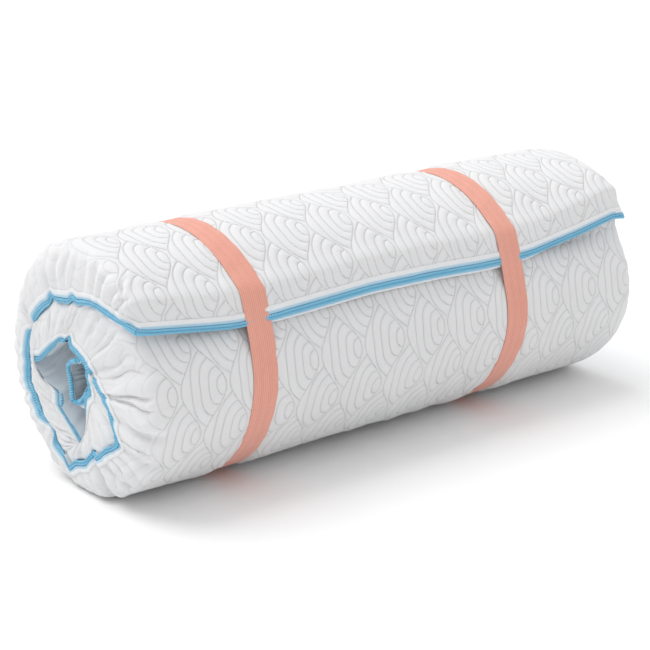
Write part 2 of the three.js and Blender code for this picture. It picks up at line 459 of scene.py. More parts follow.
def grid_faces(rows, columns, closed_rows=False, closed_columns=False, flip=False):
    row = np.arange(rows if closed_rows else rows - 1)
    column = np.arange(columns if closed_columns else columns - 1)
    i, j = np.meshgrid(row, column, indexing="ij")
    i2, j2 = (i + 1) % rows, (j + 1) % columns
    quads = np.stack([i * columns + j, i * columns + j2, i2 * columns + j2, i2 * columns + j], -1)
    quads = quads.reshape(-1, 4)
    return quads[:, ::-1] if flip else quads


def make_piece(name, points, faces, attributes=None, material=None, body="rolled_mattress"):
    mesh = bpy.data.meshes.new(name)
    mesh.from_pydata(points.tolist(), [], faces if isinstance(faces, list) else faces.tolist())
    mesh.polygons.foreach_set("use_smooth", np.ones(len(mesh.polygons), bool))
    for key, values in (attributes or {}).items():
        layer = mesh.attributes.new(key, "FLOAT", "POINT")
        layer.data.foreach_set("value", np.ascontiguousarray(values, np.float32).ravel())
    mesh.update()
    piece = bpy.data.objects.new(name, mesh)
    bpy.context.scene.collection.objects.link(piece)
    if material:
        mesh.materials.append(material)
    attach(piece, body)
    return piece


# --- Shader helpers ---------------------------------------


class Wire:
    """A number in a shader, so that node maths reads like Python."""

    def __init__(self, tree, socket):
        self.tree, self.socket = tree, socket

    def math(self, operation, *others, clamp=False):
        node = self.tree.nodes.new("ShaderNodeMath")
        node.operation = operation
        node.use_clamp = clamp
        for i, value in enumerate((self, *others)):
            if isinstance(value, Wire):
                self.tree.links.new(value.socket, node.inputs[i])
            else:
                node.inputs[i].default_value = float(value)
        return Wire(self.tree, node.outputs[0])

    def __add__(self, other):
        return self.math("ADD", other)

    __radd__ = __add__

    def __mul__(self, other):
        return self.math("MULTIPLY", other)

    __rmul__ = __mul__

    def __sub__(self, other):
        return self.math("SUBTRACT", other)

    def __rsub__(self, other):
        return (self * -1) + other

    def __truediv__(self, other):
        return self.math("DIVIDE", other)

    def __mod__(self, other):
        return self.math("FLOORED_MODULO", other)


class WireMaths:
    """The functions that the quilting needs, on node sockets."""

    @staticmethod
    def cos(a):
        return a.math("COSINE")

    @staticmethod
    def absolute(a):
        return a.math("ABSOLUTE")

    @staticmethod
    def minimum(a, b):
        return a.math("MINIMUM", b)

    @staticmethod
    def maximum(a, b):
        return a.math("MAXIMUM", b)

    @staticmethod
    def power(a, b):
        return a.math("POWER", b)

    @staticmethod
    def where(test, a, b):
        """a where test is 1, b where it is 0."""
        return b + (a - b) * test

    @staticmethod
    def less(a, b):
        return a.math("LESS_THAN", b)


class ArrayMaths:
    """The same functions on arrays."""

    cos, absolute = np.cos, np.abs
    minimum, maximum, power = np.minimum, np.maximum, np.power

    @staticmethod
    def where(test, a, b):
        return np.where(test, a, b)

    @staticmethod
    def less(a, b):
        return a < b


# --- The quilting -----------------------------------------

CELL_WIDTH = 76.0
CELL_HALF = 64.5  # half of a cell's height along the mattress
WAVE = 16.0
# Each arc's depth, half its height, and how far its ends flare out like a bell's.
ARCS = [(14.5, 13.5, 0.5), (27.0, 25.5, 0.58), (40.5, 39.0, 0.8), (54.0, 53.0, 1.1)]


def quilt_lines(x, s, maths):
    """How far a place on the panel is from the nearest quilting line. Wavy lines bound the cells, and
    in each cell arcs open towards its right-hand line."""
    s = (s + CELL_HALF) % (2 * CELL_HALF) - CELL_HALF
    swing = maths.cos(s * (math.pi / CELL_HALF))
    left = swing * -WAVE - (CELL_WIDTH - WAVE - 6)
    from_left = (x - left) % CELL_WIDTH
    width = swing * (2 * WAVE) + CELL_WIDTH / 2
    wide = maths.less(from_left, width)
    e = maths.where(wide, width - from_left, CELL_WIDTH - from_left)
    own_width = maths.where(wide, width, CELL_WIDTH - width)
    half = maths.absolute(s)
    own_s = maths.where(wide, half, CELL_HALF - half)
    line_slope = 0.8
    lines = maths.minimum(maths.absolute(e), maths.absolute(own_width - e)) * line_slope
    for depth, height, blunt in ARCS:
        t = own_s / height
        inside = maths.maximum(1 - t * t, 0.0004)
        reach = maths.power(inside, blunt) * depth
        slope = maths.minimum(t * reach / inside * (2 * blunt / height), 3.0)
        gap = maths.absolute(e - reach) / maths.power(1 + slope * slope, 0.5)
        past = maths.maximum(own_s - height, 0.0)
        lines = maths.minimum(lines, gap + past * 0.6)
    return lines


PATTERN_X = -43.0
PATTERN_S = 68.0
PATTERN_SKEW = 0.025
FOLD_TURN = 14.2  # the flap's top panel starts here
ARC_MM = math.pi / 180 * ROLL_RADIUS


def pattern_place(turn, q):
    """Where a place on the cover falls in the quilting."""
    s = (turn - FOLD_TURN) * ARC_MM
    return q - PATTERN_X - PATTERN_SKEW * (s - PATTERN_S), s - PATTERN_S


QUILT_PUFF = 1.9


def quilt_lift(turn, q):
    x, s = pattern_place(turn, q)
    away = quilt_lines(x, s, ArrayMaths)
    lift = QUILT_PUFF * (1 - np.exp(-away / 3.2))
    lift = lift * smooth((turn - 4.4) / 2.5) * mix(0.5, 1, smooth((turn - 5) / 10))
    v = (np.abs(q) - BODY) / BAND
    rim = np.where(q > 0, 0.75, 0.35) * smooth((v + 0.25) / 0.5)
    return lift * (1 - rim) * (1 - smooth((v - 0.7) / 0.25))


def border_gathers(turn, q):
    """Small puckers of the end border, below the flap's fold."""
    inside = np.exp(-(((turn - 9) / 3.4) ** 2)) * smooth((BODY + 20 - np.abs(q)) / 30)
    return 2.6 * (pleats(q + 900, turn / 14, 7) - 0.4) * inside


# Creases and seams on the ends: side, then turn and v of the start and of the end, depth, width.
CREASES = [
    (-1, 29, 0.02, 9, 0.9, 3.2, 2.2),
    (1, 27, 0.02, 9, 0.9, 3.0, 2.2),
    (-1, 97, 0.0, 87, 0.95, 5.5, 4.5),
    (-1, 118, 0.1, 126, 0.95, 5.0, 5.0),
    (-1, 146, 0.0, 150, 0.8, 3.5, 4.0),
    (-1, 176, 0.05, 179, 0.9, 4.5, 5.0),
    (-1, 214, 0.1, 212, 0.9, 4.0, 4.5),
    (-1, 262, 0.05, 268, 0.9, 6.0, 6.0),
    (-1, 284, 0.0, 280, 0.8, 5.0, 5.0),
    (-1, 302, -0.1, 300, 0.9, 3.6, 6.0),
    (-1, 318, -0.1, 314, 0.9, 3.6, 6.0),
    (-1, 338, -0.2, 332, 0.9, 1.6, 7.0),
]


def crease_lift(turn, q):
    lift = np.zeros_like(q)
    for side, turn0, v0, turn1, v1, depth, width in CREASES:
        x, y = turn * ARC_MM, side * q - BODY
        x0, y0, x1, y1 = turn0 * ARC_MM, v0 * BAND, turn1 * ARC_MM, v1 * BAND
        length = (x1 - x0) ** 2 + (y1 - y0) ** 2
        t = np.clip(((x - x0) * (x1 - x0) + (y - y0) * (y1 - y0)) / length, 0, 1)
        away = np.hypot(x - x0 - t * (x1 - x0), y - y0 - t * (y1 - y0))
        swell = 0.35 * np.exp(-(((away - 2.6 * width) / (1.3 * width)) ** 2))
        lift += depth * (swell - np.exp(-((away / width) ** 2))) * smooth(t / 0.2 + 0.15)
    return lift


def pressed(q):
    """1 where the cover is free, 0 where a strap lies on it."""
    free = 1
    for name in strap_boxes:
        free = free * (1 - np.exp(-((np.abs(q - strap_middle(name)) / 25) ** 6)))
    return free


def tension(turn, q):
    """Fine creases that run out from the straps, and slack wrinkles between them."""
    s = turn * ARC_MM
    lift = 0
    for number, name in enumerate(strap_boxes):
        away = np.abs(q - strap_middle(name))
        near = np.exp(-(((away - 30) / 16) ** 2))
        lift = lift + near * 0.9 * np.sin(s / 9.5 + 2.2 * np.sin(s / 47 + number) + away / 26)
    slack = np.sin(s / 21 + q / 13 + 2.4 * np.sin(q / 71 + s / 160))
    patch = smooth(np.sin(q / 97 + 1.2) * np.sin(s / 120 + 0.4) * 1.6)
    return lift + 0.9 * slack * patch


# --- Materials --------------------------------------------


def srgb(*levels):
    """A screen colour, from 0 to 255, as Blender's linear colour."""
    linear = [(v / 255 / 12.92) if v < 10.3 else ((v / 255 + 0.055) / 1.055) ** 2.4 for v in levels]
    return (*linear, 1.0)


class Fabric:
    """A material's node tree and the few kinds of node that all of these materials use."""

    def __init__(self, name, roughness, sheen=0.0, metallic=0.0, subsurface=0.0):
        self.material = bpy.data.materials.new(name)
        self.material.use_nodes = True
        self.tree = self.material.node_tree
        self.shader = self.tree.nodes["Principled BSDF"]
        self.shader.inputs["Roughness"].default_value = roughness
        self.shader.inputs["Sheen Weight"].default_value = sheen
        self.shader.inputs["Sheen Roughness"].default_value = 0.5
        self.shader.inputs["Metallic"].default_value = metallic
        self.shader.inputs["Subsurface Weight"].default_value = subsurface
        self.shader.inputs["Subsurface Scale"].default_value = 0.004

    def attribute(self, name):
        node = self.tree.nodes.new("ShaderNodeAttribute")
        node.attribute_name = name
        return Wire(self.tree, node.outputs["Fac"])

    def position(self):
        return self.tree.nodes.new("ShaderNodeTexCoord").outputs["Object"]

    def noise(self, scale, detail=3.0, roughness=0.55):
        node = self.tree.nodes.new("ShaderNodeTexNoise")
        self.tree.links.new(self.position(), node.inputs["Vector"])
        node.inputs["Scale"].default_value = scale
        node.inputs["Detail"].default_value = detail
        node.inputs["Roughness"].default_value = roughness
        return Wire(self.tree, node.outputs["Fac"])

    def weave(self, across, along, across_pitch, along_pitch):
        """Little crossing ridges, like a knit's stitches. From about -1 to 1."""
        a = (across * (2 * math.pi / across_pitch)).math("SINE")
        b = (along * (2 * math.pi / along_pitch) + a * 0.6).math("SINE")
        return a * 0.5 + b * 0.5

    def blend(self, factor, first, second):
        node = self.tree.nodes.new("ShaderNodeMix")
        node.data_type = "RGBA"
        self.tree.links.new(factor.socket, node.inputs["Factor"])
        for socket, colour in zip(("A", "B"), (first, second)):
            target = [i for i in node.inputs if i.name == socket and i.type == "RGBA"][0]
            if isinstance(colour, tuple):
                target.default_value = colour
            else:
                self.tree.links.new(colour, target)
        return [o for o in node.outputs if o.type == "RGBA"][0]

    def colour(self, socket):
        self.tree.links.new(socket, self.shader.inputs["Base Color"])

    def roughness(self, wire):
        self.tree.links.new(wire.socket, self.shader.inputs["Roughness"])

    def bump(self, height, distance):
        """height is in units of distance, which is in millimetres."""
        node = self.tree.nodes.new("ShaderNodeBump")
        node.inputs["Strength"].default_value = 1.0
        node.inputs["Distance"].default_value = distance * MM
        self.tree.links.new(height.socket, node.inputs["Height"])
        self.tree.links.new(node.outputs["Normal"], self.shader.inputs["Normal"])


def knit_cover():
    """White knit, quilted: the stitched lines are grooves with painted shade in them, with grey dots of
    painted shade at the stitch holes, and the knit has fine ribs.
    """
    look = Fabric("cover_knit", 0.85, sheen=0.25)
    x, s = look.attribute("pattern_x"), look.attribute("pattern_s")
    away = quilt_lines(x, s, WireMaths)
    groove_and_painted_shade = (1 - away / 1.5).math("MAXIMUM", 0.0, clamp=True)
    thread = (1 - away / 0.8).math("MAXIMUM", 0.0, clamp=True)
    step = ((x + s) * (2 * math.pi / 3.4)).math("SINE") * 0.5 + 0.5
    stitch_hole_and_painted_shade = thread * step
    knit = look.weave(x, s, 1.5, 1.9)
    cloud = look.noise(9.0, 4.0)
    mottle = look.noise(420.0, 2.0)
    stitching = look.attribute("stitching")
    # Painted shade: the quilting grooves and the stitch holes are painted darker. The cloudy and
    # mottled tone on top is random.
    shade = (groove_and_painted_shade * 0.09 + stitch_hole_and_painted_shade * 0.36) * stitching + cloud * 0.1 + mottle * 0.1
    look.colour(look.blend(shade, srgb(233, 233, 234), srgb(150, 152, 157)))
    height = knit * 0.05 + mottle * 0.16 - (groove_and_painted_shade * 0.55 + stitch_hole_and_painted_shade * 0.35) * stitching
    look.bump(height, 1.0)
    look.roughness(mottle * 0.15 + 0.78)
    return look.material


def plain_knit(name, light, dark, pitch=1.6):
    """A flat knit panel with fine ribs and slow unevenness."""
    look = Fabric(name, 0.85, sheen=0.2)
    x, s = look.attribute("pattern_x"), look.attribute("pattern_s")
    knit = look.weave(x, s, pitch, pitch * 1.2)
    mottle = look.noise(300.0, 3.0)
    look.colour(look.blend(look.noise(14.0) * 0.7 + mottle * 0.3, light, dark))
    look.bump(knit * 0.12 + mottle * 0.2, 1.0)
    return look.material


def tape_knit():
    """The zip's tape: white beside the cover, with a pale blue stripe beside the coil."""
    look = Fabric("zip_tape", 0.75, sheen=0.2)
    across, along = look.attribute("across"), look.attribute("along")
    stripe = ((across - 0.52) * 7).math("MAXIMUM", 0.0, clamp=True)
    rib = (across * (2 * math.pi * 7)).math("SINE") * 0.5
    bars = (along * (2 * math.pi / 2.9)).math("SINE") * 0.5
    mottle = look.noise(500.0, 2.0)
    tick = (mottle * 0.7 + bars * 0.5 + 0.1).math("MAXIMUM", 0.0, clamp=True)
    pale = look.blend(tick, srgb(196, 224, 238), srgb(150, 194, 220))
    white = look.blend(tick, srgb(246, 246, 246), srgb(212, 215, 220))
    look.colour(look.blend(stripe, white, pale))
    look.bump(rib * 0.25 + bars * 0.2 + mottle * 0.1, 0.6)
    return look.material


def coil_nylon():
    """Blue nylon coil: slanting turns with painted highlight on their crests, and painted shade between
    them and along the centre groove. The crests are also less rough.
    """
    look = Fabric("zip_coil", 0.42)
    across, along = look.attribute("across"), look.attribute("along")
    slant = (across - 0.5).math("ABSOLUTE") * 2.4
    turn = ((along + slant * 2) * (2 * math.pi / 3.6)).math("SINE") * 0.5 + 0.5
    groove_and_painted_shade = 1 - (across - 0.5).math("ABSOLUTE") * 9
    groove_and_painted_shade = groove_and_painted_shade.math("MAXIMUM", 0.0, clamp=True)
    fleck = look.noise(700.0, 2.0)
    # Painted light: the pale colour on the crests of the turns is painted highlight. The dark colour
    # between the turns and along the centre groove is painted shade.
    shade = (1 - turn) * 0.6 + groove_and_painted_shade * 0.25 + fleck * 0.2 - 0.1
    shade = shade.math("MAXIMUM", 0.0, clamp=True)
    look.colour(look.blend(shade, srgb(138, 214, 243), srgb(20, 98, 152)))
    look.bump(turn * 0.6 - groove_and_painted_shade * 0.4 + fleck * 0.1, 0.8)
    look.roughness(shade * 0.3 + 0.36)
    return look.material


def coral_webbing():
    """Woven coral webbing: lengthwise ribs crossed by a fine twill, with painted highlight on the rib
    crests and painted shade between the ribs.
    """
    look = Fabric("webbing", 0.7, sheen=0.3)
    across, along = look.attribute("across"), look.attribute("along")
    ribs = (across * (2 * math.pi * 13)).math("SINE") * 0.5 + 0.5
    twill = ((along + across * 22) * (2 * math.pi / 2.4)).math("SINE") * 0.5 + 0.5
    weft = (along * (2 * math.pi / 1.1)).math("SINE") * 0.5 + 0.5
    fleck = look.noise(260.0, 3.0)
    slow = look.noise(8.0, 2.0)
    # Painted light: the rib crests are painted paler (painted highlight) and the dips between ribs
    # darker (painted shade). The twill, flecks and slow patches are tone of the weave.
    shade = (1 - ribs) * 0.34 + twill * 0.16 + fleck * 0.2 + slow * 0.3 - 0.08
    shade = shade.math("MAXIMUM", 0.0, clamp=True)
    look.colour(look.blend(shade, srgb(246, 182, 163), srgb(208, 122, 103)))
    look.bump(ribs * 0.35 + twill * 0.3 + weft * 0.15 + fleck * 0.1, 0.5)
    look.roughness(fleck * 0.2 + 0.58)
    return look.material


def foam(name, light, dark):
    """Open foam: small pores and a few larger ones."""
    look = Fabric(name, 0.9, subsurface=0.1)
    pores, big = look.noise(650.0, 4.0), look.noise(160.0, 3.0)
    look.colour(look.blend(pores * 0.6 + big * 0.4, light, dark))
    look.bump(pores * 0.6 + big * 0.5, 1.0)
    return look.material


def brushed_metal():
    """Nickel-plated zinc with fine scratches and duller patches."""
    look = Fabric("zip_metal", 0.3, metallic=1.0)
    patch, scratch = look.noise(60.0, 4.0), look.noise(900.0, 2.0)
    look.colour(look.blend(patch, srgb(205, 206, 208), srgb(150, 152, 156)))
    look.roughness(patch * 0.25 + 0.2)
    look.bump(scratch * 0.3 + patch * 0.2, 0.1)
    return look.material


# --- The cover --------------------------------------------

COVER_START = 1.2  # the flap's border ends here, under the zip's tape
FINE_STEP = 2.4
STRAP_ROOM = 1.9  # the cover stays this far above the floor where a strap passes below it
COARSE_EVERY = 16


def cover_columns():
    fine = np.arange(-EDGE, EDGE + 0.1, 2 * EDGE / round(2 * EDGE / FINE_STEP))
    bands = np.abs(fine) > BODY - 70
    chosen = np.flatnonzero(bands | (np.arange(len(fine)) % COARSE_EVERY == 0))
    return fine, chosen


def cover_lift(turn, q):
    """How far the cover stands out from the mattress: quilting, gathers, wrinkles and creases."""
    lift = quilt_lift(turn, q) + border_gathers(turn, q) + tension(turn, q)
    lift = lift * mix(0.12, 1, pressed(q)) + crease_lift(turn, q) * (turn < LAP)
    hidden = 1 - smooth((turn - 372) / 20)
    free = np.maximum(hidden, smooth((np.abs(q) - BODY) / 10)) * smooth((END_TURN - turn) / 15)
    return lift * free


def cover_points(turns, columns):
    turn, q = (a.ravel() for a in np.meshgrid(turns, columns, indexing="ij"))
    place, _ = with_lift(turn, q, cover_lift(turn, q))
    ground = FLOOR_GAP - AXIS_UP + STRAP_ROOM * (1 - pressed(q))
    place[2] = np.maximum(place[2], ground)
    stitching = 1 - 0.7 * smooth((np.abs(q) - BODY + 6) / 30)
    return to_rows(place), (*pattern_place(turn, q), stitching)


def make_cover(material):
    """One quilted panel: over the roll, round both rims and down to the zip at each end."""
    fine, chosen = cover_columns()
    seen = np.concatenate([np.arange(COVER_START, 20, 0.4), np.arange(20, 372, 0.8)])
    inside = np.linspace(373.5, END_TURN, 446)
    points, pattern = cover_points(seen, fine)
    more, more_pattern = cover_points(inside, fine[chosen])
    count = len(points)
    faces = grid_faces(len(seen), len(fine))
    joined = np.concatenate([count - len(fine) + chosen, count + np.arange(len(more))])
    extra = grid_faces(len(inside) + 1, len(chosen))
    faces = np.concatenate([faces, joined[extra]])
    names = ("pattern_x", "pattern_s", "stitching")
    both = [np.concatenate(parts) for parts in zip(pattern, more_pattern)]
    attributes = dict(zip(names, both))
    cover = make_piece("quilted_cover", np.concatenate([points, more]), faces, attributes, material)
    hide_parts("top_cover_fabric", "left_border", "right_border", "outer_end_border")
    return cover


# --- Strips along a path: tapes, coils --------------------


def edge_frames(turn, q, toward):
    """Frames along the cover's edge: its points, the way out of the fabric and the way off its edge."""
    place, normal = with_lift(turn, q, 0.0)
    step = 0.8
    inner = face_points(turn + step * toward[0], q - step * toward[1])
    off = place - inner
    off -= normal * (off * normal).sum(0)
    off /= np.maximum(np.linalg.norm(off, axis=0), 1e-6)
    return place, normal, off


def tape_rows(turn, q, toward):
    """The upper tape's rows on the cover, from the tape's outer edge to the coil."""
    step = 1.0
    here = face_points(turn, q)
    near = face_points(turn + step * toward[0], q - step * toward[1])
    stretch = smooth_along(np.linalg.norm(here - near, axis=0)[None] / step, 8)[0]
    rows = []
    for way, height, _ in TAPE_PROFILE:
        inward = max(-way, 0.0) / np.maximum(stretch, 0.4)
        row_turn, row_q = turn + inward * toward[0], q - inward * toward[1]
        place, _ = with_lift(row_turn, row_q, cover_lift(row_turn, row_q) + height + 0.2)
        rows.append(place)
    return rows


def smooth_along(values, reach=3):
    return np.stack([running_mean(row, reach) for row in values])


def strip(name, path, normal, off, profile, closed, bulk, material, slot_name, ready=None):
    """A strip whose section is profile: rows of (way off the edge, height, across). ready holds its
    rows where they are already placed."""
    middle = path + off * profile[len(profile) // 2][0] * bulk
    run = np.concatenate([[0], np.cumsum(np.linalg.norm(np.diff(middle, axis=1), axis=0))])
    rows = ready or [path + (off * way + normal * high) * bulk for way, high, _ in profile]
    place = np.stack(rows, axis=2)
    count = path.shape[1]
    across = np.concatenate([np.broadcast_to(a, (count,))[:, None] for _, _, a in profile], axis=1)
    along = np.repeat(run, len(profile))
    faces = grid_faces(count, len(profile), closed_columns=closed)
    if closed:
        ring = np.arange(len(profile))
        caps = [ring[::-1].tolist(), (ring + (count - 1) * len(profile)).tolist()]
        faces = faces.tolist() + caps
    attributes = {"across": across, "along": along}
    piece = make_piece(name + "_woven", to_rows(place), faces, attributes, material)
    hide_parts(name)
    return piece


COIL_PROFILE = [
    (0.2, -0.6, 0.0),
    (0.3, 1.0, 0.08),
    (1.0, 2.3, 0.18),
    (2.1, 2.9, 0.3),
    (3.0, 2.5, 0.42),
    (3.6, 1.8, 0.5),
    (4.2, 2.5, 0.58),
    (5.1, 2.9, 0.7),
    (6.2, 2.3, 0.82),
    (6.9, 1.0, 0.92),
    (7.0, -0.6, 1.0),
    (6.2, -2.2, 0.9),
    (4.8, -2.9, 0.75),
    (3.4, -2.2, 0.5),
    (2.2, -2.9, 0.25),
    (0.9, -2.2, 0.1),
]
TAPE_PROFILE = [
    (-11.0, 0.1, 0.0),
    (-10.4, 1.0, 0.05),
    (-8.5, 1.5, 0.22),
    (-6.5, 1.7, 0.4),
    (-4.4, 1.3, 0.58),
    (-2.4, 1.5, 0.76),
    (-0.8, 1.2, 0.92),
    (0.3, 0.2, 1.0),
]
LOWER_SHOWN = [
    (5.6, -0.4, 1.0),
    (7.6, 0.5, 0.8),
    (9.8, 0.1, 0.5),
    (11.2, -2.0, 0.25),
    (11.0, -7.0, 0.0),
]
LOWER_TUCKED = [
    (5.0, -1.0, 1.0),
    (5.2, -1.8, 0.8),
    (5.0, -2.6, 0.5),
    (4.4, -3.3, 0.25),
    (3.4, -3.8, 0.0),
]


def edge_zips(materials):
    """The zip down both ends of the roll and along the flap's edge, which is one long line."""
    down = np.arange(COVER_START, END_TURN, 0.5)
    along_flap = np.arange(-EDGE + 1, EDGE - 0.9, 1.5)
    sides = (
        (down[::-1], np.full_like(down, EDGE), (0, 1)),
        (np.full_like(along_flap, COVER_START), along_flap[::-1], (1, 0)),
        (down, np.full_like(down, -EDGE), (0, -1)),
    )
    frames = [edge_frames(*side) for side in sides]
    line = [np.concatenate(parts, axis=1) for parts in zip(*frames)]
    tapes = [tape_rows(*side) for side in sides]
    tape = [smooth_along(np.concatenate(parts, axis=1), 2) for parts in zip(*tapes)]
    path = smooth_along(line[0], 1)
    normal, off = smooth_along(line[1], 12), smooth_along(line[2], 12)
    normal /= np.linalg.norm(normal, axis=0)
    off -= normal * (off * normal).sum(0)
    off /= np.linalg.norm(off, axis=0)
    hidden = np.zeros_like(down)
    shown = np.concatenate([hidden, smooth((BODY - 60 - np.abs(along_flap)) / 150), hidden])
    first, second = len(down), len(down) + len(along_flap)
    spans = (
        ("right", 0, first),
        ("outer_end", first - 1, second + 1),
        ("left", second, path.shape[1]),
    )
    made = []
    for word, start, stop in spans:
        pieces = (path[:, start:stop], normal[:, start:stop], off[:, start:stop])
        own_tape = [row[:, start:stop] for row in tape]
        made += zip_strips(word, *pieces, shown[start:stop], materials, own_tape)
    return made


def zip_strips(word, path, normal, off, shown, materials, own_tape=None):
    """shown is how far the lower tape stands out from under the coil: 0 not at all, 1 fully."""
    tape, coil = materials
    lower = []
    for hidden, seen in zip(LOWER_TUCKED, LOWER_SHOWN):
        lower.append([mix(a, b, shown) for a, b in zip(hidden, seen)])
    made = []
    for part, *section in (
        ("upper_tape", TAPE_PROFILE, False, 1.0, tape, "zip_tape", own_tape),
        ("coil", COIL_PROFILE, True, 1.16, coil, "zip_coil"),
        ("lower_tape", lower, False, 1.12, tape, "zip_tape"),
    ):
        made.append(strip(f"{word}_zip_{part}", path, normal, off, *section))
    return made


# --- Straps -----------------------------------------------

# How far each strap strays from its middle: (angle from the top towards the front, millimetres).
STRAP_STRAY = {
    "left_strap": [(-180, 0), (-60, -1), (0, -2), (55, 5), (75, 6), (110, -1), (180, 0)],
    "right_strap": [(-180, 0), (-60, 2), (0, 1), (60, 6), (80, 5), (120, -2), (180, 0)],
}


def hull_radius(x, angles):
    """The radius of a taut loop round the roll at x, at each angle."""
    turn = np.arange(0, LAP, 0.5)
    back, up = polar(lean_of(turn, x), outer_radius(turn, x))
    points = np.column_stack([back, up])
    order = np.lexsort((points[:, 1], points[:, 0]))
    loop = []
    for direction in (1, -1):
        chain = []
        for i in order[::direction]:
            while len(chain) > 1:
                a, b = points[chain[-2]], points[chain[-1]]
                c = points[i]
                bend = (b[0] - a[0]) * (c[1] - a[1]) - (b[1] - a[1]) * (c[0] - a[0])
                if bend > 0:
                    break
                chain.pop()
            chain.append(i)
        loop += chain[:-1]
    ring = points[loop]
    around = np.arctan2(-ring[:, 0], ring[:, 1])
    order = np.argsort(around)
    ring = ring[order]
    ends = np.vstack([ring[-1:], ring, ring[:1]])
    dense = np.linspace(0, 1, 12, endpoint=False)
    fine = (ends[:-1, None] + (ends[1:] - ends[:-1])[:, None] * dense[:, None]).reshape(-1, 2)
    fine_around = np.unwrap(np.arctan2(-fine[:, 0], fine[:, 1]))
    return np.interp(angles, fine_around, np.hypot(*fine.T), period=2 * math.pi)


def make_strap(name, material):
    """A webbing loop: ribbed, with rolled edges, pulled tight round the roll."""
    rows, columns = 620, 41
    angles = np.linspace(-math.pi, math.pi, rows, endpoint=False)
    across = np.linspace(0, 1, columns)
    x0 = strap_middle(name)
    stray = np.array(STRAP_STRAY[name])
    middle = x0 + np.interp(np.degrees(angles), stray[:, 0], stray[:, 1])
    middle = smooth_along(middle[None], 12)[0]
    width = strap_boxes[name][1][0] - strap_boxes[name][0][0]
    samples = [hull_radius(x0 + w * width, angles) for w in (-0.42, 0, 0.42)]
    base = np.maximum(np.maximum(samples[0], samples[2]) - 0.3, samples[1]) + 0.6
    kernel = np.array([1, 2, 3, 2, 1]) / 9
    base = np.convolve(np.pad(base, 2, mode="wrap"), kernel, "valid")
    ribs = 0.22 * np.cos(across * 2 * math.pi * 10)
    rolled = 1.4 * np.clip(np.abs(across - 0.5) * 2 - 0.93, 0, 1) / 0.07
    x = middle[:, None] + (across - 0.5) * width
    outer = base[:, None] + 2.0 + ribs - 0.6 * rolled + 0.25 * np.sin(x / 9 + angles[:, None] * 31)
    inner = np.repeat(base[:, None] + 0.3, columns, axis=1) + 0.3 * rolled
    angle = np.repeat(angles[:, None], columns, axis=1)
    ring_x = np.concatenate([x, x[:, ::-1]], axis=1)
    ring_r = np.concatenate([outer, inner[:, ::-1]], axis=1)
    ring_angle = np.concatenate([angle, angle], axis=1)
    back, up = polar(ring_angle, ring_r)
    floor = -AXIS_UP + 0.15 + np.where(np.arange(2 * columns) < columns, 0.0, 1.7)
    up = np.maximum(up, floor)
    place = np.stack([ring_x, back, up])
    faces = grid_faces(rows, 2 * columns, closed_rows=True, closed_columns=True, flip=True)
    along = ring_angle * ROLL_RADIUS
    ring_across = np.broadcast_to(np.concatenate([across, across[::-1]]), along.shape)
    attributes = {"across": ring_across, "along": along}
    strap = make_piece(name + "_webbing", to_rows(place), faces, attributes, material, body=name)
    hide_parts(name)
    return strap


# --- Inside the cover -------------------------------------


def own_end(side, turn):
    """How far from the middle the fabric of each turn ends."""
    _, _, inset = edge_at(side, turn)
    return HALF_LENGTH - inset


def make_bottom_panel(material):
    """The plain panel on the mattress's underside, which is the inner face of every turn."""
    turns = np.arange(-2.0, END_TURN + 0.1, 2.0)
    spread = np.concatenate([np.linspace(0, 0.3, 40)[:-1], np.linspace(0.3, 0.7, 8)])
    spread = np.concatenate([spread[:-1], np.linspace(0.7, 1, 40)])
    turn, t = (a.ravel() for a in np.meshgrid(turns, spread, indexing="ij"))
    left, right = own_end(-1, turn), own_end(1, turn)
    x = mix(-left, right, t)
    back, up = inner_face(np.maximum(turn, 0), x)
    lean = np.arctan2(-back, up)
    from_end = np.minimum(x + left, right - x)
    slack = 1 + 2.6 * np.exp(-from_end / 110)
    bend = 12 * np.sin(from_end / 37 + turn / 40)
    ripple = pleats(turn * 1.9 + bend + 40, 0.0, 11) + 0.5 * pleats(turn * 4.1 - bend + 90, 0.0, 12)
    rise = -0.6 - 1.5 * slack * ripple * smooth(turn / 20) * smooth(from_end / 12)
    back, up = back - np.sin(lean) * rise, up + np.cos(lean) * rise
    faces = grid_faces(len(turns), len(spread), flip=True)
    attributes = {"pattern_x": x, "pattern_s": turn * 2.2}
    place = np.stack([x, back, up])
    panel = make_piece("bottom_panel_knit", to_rows(place), faces, attributes, material)
    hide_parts("bottom_panel")
    return panel


def make_layer(name, near, far, inset, material):
    """A layer of the filling, as a closed slab between two depths through the mattress."""
    turns = np.arange(7.0, END_TURN - 3, 5.0)
    spread = np.linspace(0, 1, 33)
    turn, t = (a.ravel() for a in np.meshgrid(turns, spread, indexing="ij"))
    x = mix(-(own_end(-1, turn) - inset), own_end(1, turn) - inset, t)
    out_back, out_up = outer_face(turn, x)
    in_back, in_up = inner_face(turn, x)
    skins = []
    for depth in (near, far):
        skins.append(np.stack([x, mix(out_back, in_back, depth), mix(out_up, in_up, depth)]))
    rows, columns = len(turns), len(spread)
    points = np.concatenate([to_rows(skin) for skin in skins])
    sheet = grid_faces(rows, columns)
    index = np.arange(rows * columns).reshape(rows, columns)
    rim = np.concatenate([index[0], index[1:, -1], index[-1, -2::-1], index[-2:0:-1, 0]])
    after = np.roll(rim, -1)
    count = rows * columns
    wall = np.column_stack([rim, rim + count, after + count, after])
    faces = np.concatenate([sheet, sheet[:, ::-1] + count, wall])
    layer = make_piece(name, points, faces, None, material)
    return layer


